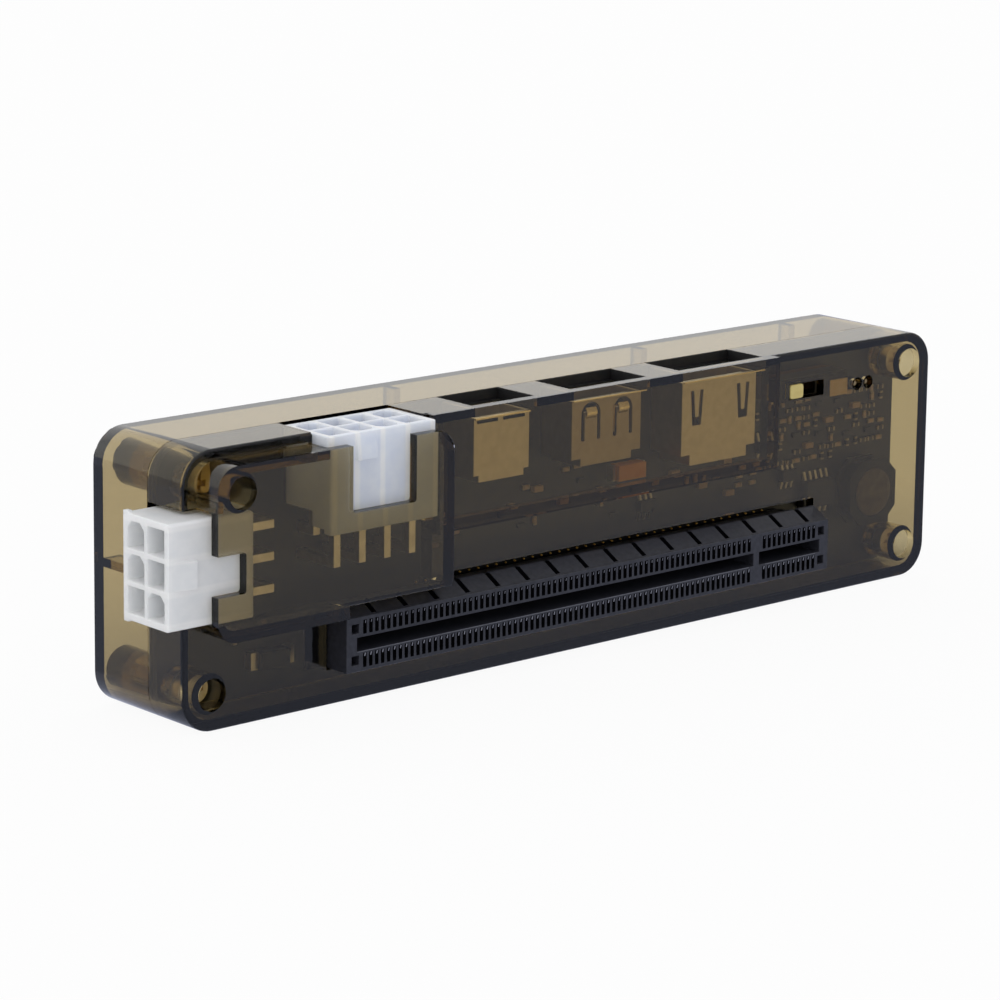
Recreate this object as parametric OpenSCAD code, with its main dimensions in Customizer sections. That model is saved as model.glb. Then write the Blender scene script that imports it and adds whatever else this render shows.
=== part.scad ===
// Laptop graphics card dock: a slim translucent case of two screwed shells round one upright board.
// The card slot faces the front, the power headers face the left end and the top, the ports face the top.
// Inside each module x runs from the case's left end, y from its base front face and z from its underside.

/* [Case] */
// Length of the case
case_l = 136.8; // [134:0.2:142]
// Height of the case
case_h = 36.6; // [36.2:0.1:40]
// Depth of the case from its base front face to its back
case_d = 19.2; // [18:0.1:24]
// Depth of the front shell from its base face to the seam
front_d = 7.3; // [7.1:0.05:8.2]
// Thickness of the shells' walls
wall = 1.4; // [1.1:0.05:1.5]
// Radius of the case's four long corners
corner_r = 4.6; // [3:0.1:5]

/* [Raised block] */
// How far the block stands ahead of the base face
block_rise = 4.5; // [4.45:0.05:5.5]
// Left face of the block, from the left end of the case
block_left = 2.2; // [2:0.05:2.6]
// Step from the case's top down to the block's top
block_step = 1.45; // [1.2:0.05:1.6]
// Radius of the block's corners
block_r = 3; // [2:0.1:3.4]

/* [Port band] */
// How far the port band stands ahead of the base face
band_rise = 1.5; // [1.2:0.05:1.8]

/* [Board] */
// Thickness of the circuit board
board_t = 1.6; // [1.2:0.1:1.8]
// Gap between the board's edge and the shells' walls
board_gap = 0.1; // [0.05:0.05:0.4]

/* [Card slot] */
// Height of the slot's front face
slot_h = 7.3; // [7.2:0.05:7.6]
// How far the slot's front face stands ahead of the base face
slot_rise = 3.6; // [3.2:0.05:4]
// Distance between neighbouring contacts
contact_pitch = 1; // [0.98:0.01:1.02]
// Contacts in each row left of the key
long_contacts = 71; // [60:1:74]
// Contacts in each row right of the key
short_contacts = 11; // [6:1:13]
// Height of the card opening
card_gap = 1.84; // [1.7:0.02:1.9]
// Depth of the card opening
card_depth = 8; // [7:0.1:8.4]
// Height of the sloped shoulder above the slot's front face
shoulder_rise = 1.45; // [1:0.05:1.5]
// Distance between neighbouring slits in the shoulder
slit_pitch = 5.35; // [5:0.05:6]

/* [Power headers] */
// Width of a square power pin
pin_w = 1.07; // [0.9:0.01:1.2]
// Length of a power header from its mouth to its rear
header_l = 12.8; // [12.2:0.1:13.2]
// How far the six pin header stands out of the left end
six_out = 4.4; // [3.5:0.1:4.6]

/* [Ports] */
// Width of the small port's shell
small_w = 9.8; // [9.4:0.1:10]
// Width of the plug port's shell
usb_w = 12.8; // [12.5:0.1:13]
// Width of the signal port's shell
signal_w = 14.4; // [14.2:0.1:14.8]
// Thickness of the ports' sheet metal
sheet_t = 0.4; // [0.25:0.05:0.5]

/* [Switch and screws] */
// Height of the switch window
window_h = 2.25; // [2.1:0.05:2.4]
// Radius of the screw holes in the front shell
screw_hole_r = 2.15; // [2.05:0.01:2.2]
// Radius of a case screw's shank
screw_r = 1.1; // [0.9:0.05:1.15]
// Length of a case screw under its head
screw_l = 8; // [6:0.1:9]

/* [Hidden] */
$fn = 48;

// General clearances
cut = 1;
seat_gap = 0.1;

// Case
seam_gap = 0.1;
mid_x = (case_l - six_out) / 2;
mid_y = (case_d - block_rise) / 2;
board_y = front_d - board_t / 2;
board_back = board_y + board_t;
block_top = case_h - block_step;
ceiling = case_h - wall;
back_wall_y = case_d - wall;

// Corner screws: middle of each tube
tube_wall = 0.55;
tube_r = screw_hole_r + tube_wall;
screw_left = 4.6;
screw_block_left = 6.1;
screw_right = 4.3;
screw_low = 4.75;
screw_high = 4.5;
screw_block_high = 5.05;
screw_spots = [
    [screw_block_left, case_h - screw_block_high, -block_rise],
    [screw_left, screw_low, 0],
    [case_l - screw_right, case_h - screw_high, 0],
    [case_l - screw_right, screw_low, 0]
];
screw_floor = 1.6;
screw_head_r = 1.85;
screw_head_t = 1.5;
screw_slack = 0.2;
screw_bite = 0.05;
screw_recess_w = 0.6;
screw_recess_l = 2.2;
screw_recess_d = 0.7;
pilot_spare = 1;
boss_r = 2.9;
hidden_sides = 12;
corner_sides = 8;

// Card slot
slot_end = 3;
key_contacts = 2;
slot_l = 2 * slot_end + (long_contacts + key_contacts + short_contacts - 1) * contact_pitch;
slot_left = 0.4925 * (case_l - slot_l);
slot_right = slot_left + slot_l;
slot_room = case_l - slot_right;
slot_mid = 0.2336 * case_h;
first_contact = slot_left + slot_end;
slot_standoff = 0.55;
slot_back = board_y - slot_standoff;
slot_low = slot_mid - slot_h / 2;
slot_top = slot_mid + slot_h / 2;
slot_rim = 0.25;
ridge_y = -0.75;
ridge_t = 0.5;
shoulder_back = 0.9;
slit_w = 0.8;
slit_floor = 0.15;
pocket_w = 0.5;
pocket_h = 1.2;
pocket_gap = 0.6;
key_gap = 1.2;
end_gap = 1.25;
big_pocket_w = 1.2;
big_pocket_off = 1.55;
contact_w = 0.32;
contact_t = 0.5;
contact_recess = 0.7;
underside_y = 1.6;
underside_rise = 0.7;
peg_r = 1.1;
peg_slack = 0.1;
foot_l = 2.2;

// Slot cut-out in the front shell
cutout_side = 0.5;
cutout_under = 0.2;
cutout_over = 2.4;

// Raised block: low edge, eave over the slot, and the room between it and the corner tube
block_over = 0.25;
eave_gap = 0.4;
block_end = 2.15;
block_low = slot_top + block_over;
block_eave = slot_top + shoulder_rise + eave_gap;
power_low = block_low + wall;
power_room = case_h - screw_block_high - tube_r - power_low;

// Power headers: their pitch follows the block's height and depth
header_rise = block_rise - wall - seat_gap;
header_d = header_rise + board_y;
pin_pitch = min(0.28 * power_room, 0.4422 * header_d);
cell_w = pin_pitch / 1.2;
header_side = pin_pitch / 7;
cell_floor = 3;
cell_chamfer = cell_w / 4;
header_r = 0.35;
six_h = 3 * pin_pitch + 2 * header_side;
six_mid = power_low + 0.5333 * power_room;
eight_l = 4 * pin_pitch + 2 * header_side;
eight_left = 0.15241 * case_l;
block_right = eight_left + eight_l + block_end;
eight_low = case_h - seat_gap * 2 - header_l;
row_off = pin_pitch / 2;
header_mid_y = board_y - header_d / 2;
front_row_y = header_mid_y - row_off;
back_row_y = header_mid_y + row_off;
pin_reach = 6;
front_drop = 4.9;
back_drop = 1.4;
solder_out = 1.2;
pin_hole_slack = 0.15;
pin_slack = 0.02;
six_ramp_start = 0.6;
six_ramp_w = 3.75;
eight_ramp_w = 3.3;
eight_ramp_share = 0.35;
ramp_l = 3.65;
ramp_t = 0.45;
lip_w = 0.5;
lip_l = 0.8;
step_a_y = 1.5;
step_a_h = 0.6;
step_b_y = 3.9;
step_b_h = 2.6;

// Entries round the power headers
entry_over = 0.45;
entry_under = 0.25;
latch_six_x = 4.4;
latch_six_h = 5.3;
latch_six_drop = 0.6;
latch_r = 0.4;
latch_eight_off = 0.161 * eight_l;
latch_eight_l = 0.588 * eight_l;
latch_eight_over = 2.75;
top_gap = 0.25;

// Ports: places along the case, depths, and the corners cut from the bottom of each shell
small_left = 0.3491 * case_l;
usb_left = 0.4774 * case_l;
signal_left = 0.6287 * case_l;
band_end = 3.5;
band_low = 0.56 * case_h;
band_right = signal_left + signal_w + band_end;
port_face = 0.4;
port_rim = 0.3;
port_d = board_y - port_face;
mouth_z = ceiling - port_rim;
small_deep = 0.2418 * case_h;
usb_deep = 0.2527 * case_h;
signal_deep = 0.3279 * case_h;
small_corner = [0.9, 0.9];
usb_corner = [1.7, 1.05];
signal_corner = [1.65, 1.5];
small_side = [0.25, 0.95];
usb_side = [0.1, 1.2];
signal_side = [0.25, 1.7];
notch_small_y = -0.05;
notch_usb_y = 0.05;
notch_signal_y = 0.35;
tongue_base = 2;
tongue_t = 1.8;
tongue_side = 0.8;
tongue_drop = 1.2;
strip_t = 0.15;
strip_w_share = 0.5;

// Springs cut in the shells' front faces: arches in the plug port, tapers in the signal port
arch_shares = [0.274, 0.738];
arch_edge = 0.45;
arch_w = 3.5;
arch_l = 0.573 * usb_deep;
arch_tongue_w = 2.3;
arch_tongue_drop = 1.35;
taper_shares = [0.201, 0.826];
taper_edge = 1.4;
taper_l = 0.4125 * signal_deep;
taper_top_w = 2.45;
taper_low_w = 1.65;
taper_tongue_w = 1.3;
taper_tip_w = 0.65;
taper_tip_gap = 1.15;

// Room between the port band and the right corner tubes, shared by the switch and the lamps
right_room = case_l - screw_right - tube_r - band_right;
window_l = 0.2684 * right_room;
window_x = band_right + 0.1409 * right_room;
window_drop = 6.95;
window_low = case_h - window_drop;
window_mid = window_low + window_h / 2;

// Slide switch
switch_l = 0.5367 * right_room;
switch_h = 3.3;
switch_off = 1.1;
switch_gap = 0.2;
frame_t = 0.3;
frame_d = 3.4;
knob_l = 0.3813 * window_l;
knob_travel = 0.5755 * window_l;
knob_gap = 0.1;
knob_out = 1.5;
knob_r = 0.4;
slider_foot = 0.8;
slider_foot_t = 1;
switch_pin_w = 0.5;
switch_y = wall + switch_gap;
switch_x = window_x - switch_off;
switch_base_t = board_y - switch_y - frame_d;

// Indicator lamps
lamp_hole_r = 0.75;
lamp_x = band_right + 0.68 * right_room;
lamp_pitch = 0.0888 * right_room;
lamp_drop = 6.25;
lamp_z = case_h - lamp_drop;
lamp_l = 0.9;
lamp_h = 1.6;
lamp_t = 0.7;

// Ribs inside the back shell
rib_t = 1.2;
rib_d = 2.2;
rib_shares = [0.344, 0.68, 0.9];
end_rib_z = 0.508 * case_h;
end_rib_l = 2.6;
end_rib_d = 5;

// Power inductor in the room right of the slot
inductor_x = slot_right + 0.654 * slot_room;
inductor_over = 0.5;
inductor_w = 0.4 * slot_room;
inductor_z = screw_low + tube_r + inductor_over + inductor_w / 2;
inductor_t = 3;
inductor_cut = 0.237 * inductor_w;
inductor_lip = 0.4;
inductor_neck = 0.5;
pad_t = 0.2;
pad_w = 0.247 * inductor_w;

// Places at shares of the case's length, or of the room right of the slot, and of the case's height
function board_spot(share) = [share[0] * case_l, share[1] * case_h];
function low_spot(share) = [slot_right + share[0] * slot_room, share[1] * case_h];

// Controller and driver chips
controller_spot = [slot_right + 0.2725 * slot_room, 0.3725 * case_h];
controller_w = 0.231 * slot_room;
controller_h = 4;
controller_t = 1.5;
controller_lead_count = 5;
controller_lead_pitch = controller_w / controller_lead_count;
lead_w = 0.4;
lead_out = 1.2;
lead_t = 0.25;
driver_w = 3;
driver_h = 1.7;
driver_t = 1.1;
driver_lead_count = 3;
driver_spots = [board_spot([0.62, 0.455]), board_spot([0.79, 0.6]), low_spot([0.023, 0.465])];

// Diode between the left corner screw and the slot
diode_spot = [0.7604 * slot_left, 0.172 * case_h];
diode_w = 0.2 * slot_left;
diode_h = 2.3;
diode_t = 2;
diode_end_l = 0.05 * slot_left;
diode_end_t = 1.2;

// Small parts on the board's front
bulk_spot = [0.59 * case_l, 0.61 * case_h];
bulk_w = 5.2;
bulk_h = 2.2;
bulk_t = 2;
bulk_end = 0.4;
bulk_end_t = 1.2;
cap_w = 1.6;
cap_h = 0.8;
cap_t = 0.75;
res_w = 1.25;
res_h = 0.65;
res_t = 0.4;
cap_shares = [
    [0.33, 0.56], [0.36, 0.5], [0.47, 0.6], [0.5, 0.54], [0.66, 0.56], [0.7, 0.49], [0.735, 0.57],
    [0.74, 0.44], [0.857, 0.57], [0.887, 0.66], [0.928, 0.7]
];
res_shares = [
    [0.42, 0.53], [0.45, 0.47], [0.53, 0.6], [0.555, 0.5], [0.575, 0.44], [0.6, 0.53], [0.715, 0.6],
    [0.77, 0.66], [0.76, 0.61], [0.8, 0.69], [0.839, 0.62], [0.874, 0.61], [0.902, 0.73],
    [0.874, 0.73]
];
inductor_top = inductor_z + inductor_w / 2;
over_inductor_z = inductor_top + 0.22 * (ceiling - inductor_top);
over_res_shares = [0.917, 0.95];
low_res_shares = [[0.3, 0.117], [0.34, 0.205], [0.12, 0.16]];

// Places the model in its own frame: middle of the whole box, underside at zero
module in_frame() {
    translate([-mid_x, -mid_y, 0]) children();
}

// Extrudes an outline drawn in x and z from y0 to y1
module along_y(y0, y1) {
    translate([0, y1, 0]) rotate([90, 0, 0]) linear_extrude(y1 - y0) children();
}

// Extrudes an outline drawn in y and z from x0 to x1
module along_x(x0, x1) {
    translate([x0, 0, 0]) rotate([90, 0, 90]) linear_extrude(x1 - x0) children();
}

// Extrudes an outline drawn in x and y from z0 to z1
module along_z(z0, z1) {
    translate([0, 0, z0]) linear_extrude(z1 - z0) children();
}

// Box between two corners
module span(low, high) {
    translate(low) cube(high - low);
}

// Rectangle with round corners between two corners
module round_rect(low, high, r, sides = $fn) {
    translate([low[0] + r, low[1]]) square([high[0] - low[0] - 2 * r, high[1] - low[1]]);
    translate([low[0], low[1] + r]) square([high[0] - low[0], high[1] - low[1] - 2 * r]);
    for (x = [low[0] + r, high[0] - r]) {
        for (z = [low[1] + r, high[1] - r]) {
            translate([x, z]) circle(r, $fn = sides);
        }
    }
}

// Rectangle with cut corners between two corners
module cut_rect(low, high, c) {
    polygon([
        [low[0] + c, low[1]], [high[0] - c, low[1]], [high[0], low[1] + c], [high[0], high[1] - c],
        [high[0] - c, high[1]], [low[0] + c, high[1]], [low[0], high[1] - c], [low[0], low[1] + c]
    ]);
}

// Square about a place
module square_at(spot, w) {
    translate([spot[0] - w / 2, spot[1] - w / 2]) square(w);
}

// Outline of the case, drawn in by an inset
module case_outline(inset) {
    round_rect([inset, inset], [case_l - inset, case_h - inset], corner_r - inset);
}

// Outline of the raised block, drawn in by an inset
module block_outline(inset) {
    round_rect(
        [block_left + inset, block_low + inset], [block_right - inset, block_top - inset],
        block_r - inset
    );
}

// Tray of the front shell with the raised block and the port band
module front_walls() {
    difference() {
        union() {
            along_y(0, front_d) case_outline(0);
            along_y(-block_rise, wall) block_outline(0);
            span([block_right - wall, -band_rise, band_low], [band_right, wall, case_h]);
        }
        along_y(wall, front_d + cut) case_outline(wall);
        along_y(wall - block_rise, wall + cut) block_outline(wall);
        span(
            [block_right, wall - band_rise, band_low + wall],
            [band_right - wall, wall + cut, ceiling]
        );
    }
}

// Tubes that carry the screws from the front face to the board
module screw_tubes() {
    for (s = screw_spots) {
        along_y(s[2], board_y) translate([s[0], s[1]]) circle(tube_r);
    }
}

module screw_bores() {
    for (s = screw_spots) {
        along_y(s[2] - cut, board_y - screw_floor) translate([s[0], s[1]]) circle(screw_hole_r);
        along_y(s[2] - cut, board_y + cut)
            translate([s[0], s[1]])
            circle(screw_r + screw_slack, $fn = hidden_sides);
    }
}

// Openings for the six pin header: entry through the end and its latch notch
module six_entry() {
    low = six_mid - six_h / 2 - entry_under;
    high = six_mid + six_h / 2 + entry_over;
    span([-cut, wall - block_rise, low], [block_left + wall + entry_under, front_d + cut, high]);
    along_y(-block_rise - cut, wall - block_rise + cut)
        round_rect(
            [block_left - cut, six_mid - latch_six_drop - latch_six_h / 2],
            [block_left + latch_six_x, six_mid - latch_six_drop + latch_six_h / 2],
            latch_r,
            hidden_sides
        );
}

// Openings for the eight pin header: slot in the top and its latch notch
module eight_entry() {
    span(
        [eight_left - top_gap, wall - block_rise, block_top - wall - cut],
        [eight_left + eight_l + top_gap, front_d + cut, case_h + cut]
    );
    along_y(-block_rise - cut, wall - block_rise + cut)
        round_rect(
            [eight_left + latch_eight_off, eight_low + latch_eight_over],
            [eight_left + latch_eight_off + latch_eight_l, case_h + cut],
            latch_r,
            hidden_sides
        );
}

// Opening in the top above one port
module port_entry(left, w, side, y) {
    span([left - side[0], y, ceiling - cut], [left + w + side[1], front_d + cut, case_h + cut]);
}

module front_openings() {
    span(
        [slot_left - cutout_side, -cut, slot_low - cutout_under],
        [slot_right + cutout_side, wall + cut, slot_top + cutout_over]
    );
    span([slot_left, -block_rise - cut, slot_low], [block_right + cut, wall + cut, block_eave]);
    six_entry();
    eight_entry();
    port_entry(small_left, small_w, small_side, notch_small_y);
    port_entry(usb_left, usb_w, usb_side, notch_usb_y);
    port_entry(signal_left, signal_w, signal_side, notch_signal_y);
    span([window_x, -cut, window_low], [window_x + window_l, wall + cut, window_low + window_h]);
    for (i = [0, 1]) {
        along_y(-cut, wall + cut) translate([lamp_x + i * lamp_pitch, lamp_z]) circle(lamp_hole_r);
    }
    screw_bores();
}

module front_shell() {
    color([0.33, 0.29, 0.24, 0.55]) in_frame() difference() {
        union() {
            front_walls();
            screw_tubes();
        }
        front_openings();
    }
}

// Back shell with screw bosses and stiffening ribs
module back_shell() {
    color([0.36, 0.32, 0.26, 0.55]) in_frame() difference() {
        union() {
            difference() {
                along_y(front_d + seam_gap, case_d) case_outline(0);
                along_y(front_d - cut, back_wall_y) case_outline(wall);
            }
            for (s = screw_spots) {
                along_y(board_back, back_wall_y + wall / 2) translate([s[0], s[1]]) circle(boss_r);
            }
            for (share = rib_shares) {
                span(
                    [share * case_l, back_wall_y - rib_d, wall / 2],
                    [share * case_l + rib_t, back_wall_y + wall / 2, case_h - wall / 2]
                );
            }
            span(
                [wall / 2, back_wall_y - end_rib_d, end_rib_z],
                [wall + end_rib_l, back_wall_y + wall / 2, end_rib_z + rib_t]
            );
        }
        for (s = screw_spots) {
            along_y(board_back - cut, board_y - screw_floor + screw_l + pilot_spare)
                translate([s[0], s[1]])
                circle(screw_r + screw_bite, $fn = hidden_sides);
        }
    }
}

// Middle of contact i, counted past the key
function contact_x(i) = first_contact + (i < long_contacts ? i : i + key_contacts) * contact_pitch;
contact_count = long_contacts + short_contacts;
function six_cell_z(i) = six_mid + (i - 1) * pin_pitch;
function eight_cell_x(i) = eight_left + header_side + (i + 1 / 2) * pin_pitch;

// Board with its screw holes, peg holes and power pin holes
module circuit_board() {
    edge = wall + board_gap;
    color([0.1, 0.13, 0.1]) in_frame() along_y(board_y, board_back) difference() {
        case_outline(edge);
        for (s = screw_spots) {
            translate([s[0], s[1]]) circle(screw_r + screw_slack, $fn = hidden_sides);
        }
        for (x = [slot_left + slot_end / 2, slot_right - slot_end / 2]) {
            translate([x, slot_mid]) circle(peg_r + peg_slack, $fn = hidden_sides);
        }
        for (i = [0:2]) {
            for (x = [header_l - six_out + back_drop, header_l - six_out + front_drop]) {
                square_at([x - pin_w / 2, six_cell_z(i)], pin_w + 2 * pin_hole_slack);
            }
        }
        for (i = [0:3]) {
            for (z = [eight_low - back_drop, eight_low - front_drop]) {
                square_at([eight_cell_x(i), z + pin_w / 2], pin_w + 2 * pin_hole_slack);
            }
        }
    }
}

// Side profile of the slot's main body with its sloped shoulder, in y and z
module slot_profile() {
    polygon([
        [-slot_rise, slot_low], [underside_y, slot_low], [underside_y, slot_low + underside_rise],
        [slot_back, slot_low + underside_rise], [slot_back, slot_top - slot_rim],
        [shoulder_back, slot_top - slot_rim], [ridge_y + ridge_t, slot_top + shoulder_rise],
        [ridge_y, slot_top + shoulder_rise], [-slot_rise + slot_rim, slot_top], [-slot_rise, slot_top]
    ]);
}

// Slit cutter: follows the shoulder's slope and runs out behind it
module slit_profile() {
    polygon([
        [-slot_rise + 2 * slot_rim, slot_top - slit_floor], [shoulder_back + cut, slot_top - slit_floor],
        [shoulder_back + cut, slot_top + shoulder_rise + cut],
        [-slot_rise + 2 * slot_rim, slot_top + shoulder_rise + cut]
    ]);
}

module card_slot_housing() {
    near = card_gap / 2 + pocket_gap;
    long_end = contact_x(long_contacts - 1) + key_gap * contact_pitch - contact_pitch / 4;
    short_start = contact_x(long_contacts) - key_gap * contact_pitch + contact_pitch / 4;
    color([0.2, 0.21, 0.24]) in_frame() union() {
        difference() {
            along_x(slot_left, slot_right) slot_profile();
            span(
                [first_contact - end_gap, -slot_rise - cut, slot_mid - card_gap / 2],
                [long_end, card_depth - slot_rise, slot_mid + card_gap / 2]
            );
            span(
                [short_start, -slot_rise - cut, slot_mid - card_gap / 2],
                [slot_right - slot_end + end_gap, card_depth - slot_rise, slot_mid + card_gap / 2]
            );
            for (i = [0:contact_count - 1]) {
                for (low = [slot_mid + near, slot_mid - near - pocket_h]) {
                    span(
                        [contact_x(i) - pocket_w / 2, -slot_rise - cut, low],
                        [contact_x(i) + pocket_w / 2, slot_back + cut, low + pocket_h]
                    );
                }
            }
            for (x = [first_contact - big_pocket_off, slot_right - slot_end + big_pocket_off]) {
                for (low = [slot_mid + near, slot_mid - near - pocket_h]) {
                    span(
                        [x - big_pocket_w / 2, -slot_rise - cut, low],
                        [x + big_pocket_w / 2, -slot_rise + card_depth / 2, low + pocket_h]
                    );
                }
            }
            for (x = [slot_left + slit_pitch - slit_w : slit_pitch : slot_right - slit_w]) {
                along_x(x, x + slit_w) slit_profile();
            }
        }
        for (x = [slot_left + slot_end / 2, slot_right - slot_end / 2]) {
            along_y(slot_back - slot_standoff, board_back)
                translate([x, slot_mid])
                circle(peg_r, $fn = hidden_sides);
            span(
                [x - foot_l / 2, slot_back - slot_standoff, slot_low + underside_rise],
                [x + foot_l / 2, board_y, slot_top - slot_rim]
            );
        }
    }
}

// Contacts: a straight blade in each pocket, standing on the board
module card_slot_contacts() {
    color([0.83, 0.68, 0.34]) in_frame() for (i = [0:contact_count - 1]) {
        for (side = [-1, 1]) {
            near = slot_mid + side * (card_gap / 2 + pocket_gap);
            far = near + side * contact_t;
            span(
                [contact_x(i) - contact_w / 2, contact_recess - slot_rise, min(near, far)],
                [contact_x(i) + contact_w / 2, board_y, max(near, far)]
            );
        }
    }
}

// One cell of a power header, square or with two keyed corners
module cell(keyed) {
    if (keyed) {
        polygon([
            [-cell_w / 2, -cell_w / 2], [cell_w / 2, -cell_w / 2], [cell_w / 2, cell_w / 2 - cell_chamfer],
            [cell_w / 2 - cell_chamfer, cell_w / 2], [cell_chamfer - cell_w / 2, cell_w / 2],
            [-cell_w / 2, cell_w / 2 - cell_chamfer]
        ]);
    } else {
        square_at([0, 0], cell_w);
    }
}

// Six pin header, mouth to the left
module six_pin_header() {
    low = six_mid - six_h / 2;
    high = six_mid + six_h / 2;
    rear = header_l - six_out;
    ramp_x = six_ramp_start - six_out;
    color([0.93, 0.94, 0.94]) in_frame() difference() {
        union() {
            along_x(-six_out, rear)
                round_rect([-header_rise, low], [board_y, high], header_r, corner_sides);
            along_z(six_mid - six_ramp_w / 2, six_mid + six_ramp_w / 2) polygon([
                [ramp_x, seat_gap - header_rise], [ramp_x, -header_rise],
                [ramp_x + ramp_l, -header_rise - ramp_t], [ramp_x + ramp_l, seat_gap - header_rise]
            ]);
            for (z = [low - lip_w / 2, high - lip_w / 2]) {
                span([-six_out, board_y - 2 * lip_w, z], [lip_l - six_out, board_y, z + lip_w]);
            }
        }
        for (i = [0:2]) {
            for (row = [front_row_y, back_row_y]) {
                along_x(-six_out - cut, rear - cell_floor)
                    translate([row, six_cell_z(i)])
                    cell((row == front_row_y) == (i == 0));
                along_x(rear - cell_floor - cut, rear + cut)
                    square_at([row, six_cell_z(i)], pin_w + pin_slack);
            }
        }
    }
}

// One bent power pin in its own plane: straight along u, then turned to the board along v
module pin_outline(tip, bend, row) {
    polygon([
        [tip, row - pin_w / 2], [bend, row - pin_w / 2], [bend, board_back + solder_out],
        [bend - pin_w, board_back + solder_out], [bend - pin_w, row + pin_w / 2], [tip, row + pin_w / 2],
        [tip - pin_w / 2, row + pin_w / 4], [tip - pin_w / 2, row - pin_w / 4]
    ]);
}

module six_pin_terminals() {
    rear = header_l - six_out;
    color([0.82, 0.78, 0.7]) in_frame() for (i = [0:2]) {
        along_z(six_cell_z(i) - pin_w / 2, six_cell_z(i) + pin_w / 2) {
            pin_outline(rear - cell_floor - pin_reach, rear + front_drop, front_row_y);
            pin_outline(rear - cell_floor - pin_reach, rear + back_drop, back_row_y);
        }
    }
}

// Eight pin header, mouth to the top, with its stepped underside
module eight_pin_header() {
    right = eight_left + eight_l;
    high = eight_low + header_l;
    ramp_x = eight_left + eight_ramp_share * eight_l - eight_ramp_w / 2;
    color([0.9, 0.92, 0.96]) in_frame() difference() {
        union() {
            along_z(eight_low, high)
                round_rect([eight_left, -header_rise], [right, board_y], header_r, corner_sides);
            along_x(ramp_x, ramp_x + eight_ramp_w) polygon([
                [seat_gap - header_rise, high], [-header_rise, high],
                [-header_rise - ramp_t, high - ramp_l], [seat_gap - header_rise, high - ramp_l]
            ]);
        }
        for (i = [0:3]) {
            for (row = [front_row_y, back_row_y]) {
                along_z(eight_low + cell_floor, high + cut)
                    translate([eight_cell_x(i), row])
                    rotate(row == front_row_y ? 180 : 0)
                    cell((row == front_row_y) == (i == 1 || i == 2));
                along_z(eight_low - cut, eight_low + cell_floor + cut)
                    square_at([eight_cell_x(i), row], pin_w + pin_slack);
            }
        }
        span(
            [eight_left - cut, step_a_y - header_rise, eight_low - cut],
            [right + cut, board_y + cut, eight_low + step_a_h]
        );
        span(
            [eight_left - cut, step_b_y - header_rise, eight_low - cut],
            [right + cut, board_y + cut, eight_low + step_b_h]
        );
    }
}

module eight_pin_terminals() {
    color([0.82, 0.78, 0.7]) in_frame() for (i = [0:3]) {
        translate([eight_cell_x(i) + pin_w / 2, 0, eight_low]) rotate([0, 90, 180])
            mirror([0, 1, 0]) linear_extrude(pin_w) {
                pin_outline(-cell_floor - pin_reach, front_drop, front_row_y);
                pin_outline(-cell_floor - pin_reach, back_drop, back_row_y);
            }
    }
}

// Sheet metal shell of a port, mouth to the top, with its two lower corners cut away
module port_can(left, w, deep, corner) {
    low = mouth_z - deep;
    step = low + corner[1];
    difference() {
        along_y(port_face, board_y) polygon([
            [left + corner[0], low], [left + w - corner[0], low], [left + w - corner[0], step],
            [left + w, step], [left + w, mouth_z], [left, mouth_z],
            [left, step], [left + corner[0], step]
        ]);
        span(
            [left + sheet_t, port_face + sheet_t, step + sheet_t],
            [left + w - sheet_t, board_y - sheet_t, mouth_z + cut]
        );
    }
}

// Arched opening round a spring that stands up from its foot
module arch_slit(x) {
    top = mouth_z - arch_edge;
    difference() {
        union() {
            translate([x, top - arch_w / 2]) circle(arch_w / 2);
            translate([x - arch_w / 2, top - arch_l]) square([arch_w, arch_l - arch_w / 2]);
        }
        translate([x - arch_tongue_w / 2, top - arch_l - cut])
            square([arch_tongue_w, arch_l - arch_tongue_drop + cut]);
    }
}

// Tapered opening round a spring that hangs from its root
module taper_slit(x) {
    top = mouth_z - taper_edge;
    difference() {
        polygon([
            [x - taper_low_w / 2, top - taper_l], [x + taper_low_w / 2, top - taper_l],
            [x + taper_top_w / 2, top], [x - taper_top_w / 2, top]
        ]);
        polygon([
            [x - taper_tip_w / 2, top - taper_l + taper_tip_gap],
            [x + taper_tip_w / 2, top - taper_l + taper_tip_gap],
            [x + taper_tongue_w / 2, top + cut], [x - taper_tongue_w / 2, top + cut]
        ]);
    }
}

// Plastic insert of a port: a base on the shell's floor and a tongue toward the mouth
module port_insert(left, w, deep, corner, tongue_share) {
    low = mouth_z - deep + corner[1] + sheet_t;
    mid = left + w / 2;
    half = w * tongue_share / 2;
    tongue_y = port_face + port_d / 2 - tongue_t / 2;
    tip = mouth_z - tongue_drop;
    span(
        [left + sheet_t, port_face + sheet_t, low],
        [left + w - sheet_t, board_y - sheet_t, low + tongue_base]
    );
    along_y(tongue_y, tongue_y + tongue_t) polygon([
        [mid - half, low + tongue_base / 2], [mid + half, low + tongue_base / 2],
        [mid + half, tip - tongue_side], [mid + half - tongue_side, tip],
        [mid - half + tongue_side, tip], [mid - half, tip - tongue_side]
    ]);
}

// Row of flat contact strips on the front of a port's tongue
module port_strips(left, w, deep, corner, tongue_share, count) {
    low = mouth_z - deep + corner[1] + sheet_t + tongue_base;
    tongue_w = w * tongue_share - 2 * tongue_side;
    pitch = tongue_w / count;
    front = port_face + port_d / 2 - tongue_t / 2;
    for (i = [0:count - 1]) {
        x = left + w / 2 - tongue_w / 2 + (i + 1 / 2) * pitch;
        span(
            [x - pitch * strip_w_share / 2, front - strip_t, low],
            [x + pitch * strip_w_share / 2, front, mouth_z - tongue_drop - tongue_side]
        );
    }
}

small_tongue_share = 0.7;
usb_tongue_share = 0.86;
signal_tongue_share = 0.82;
small_strips = 5;
usb_strips = 4;
signal_strips = 10;

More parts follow.
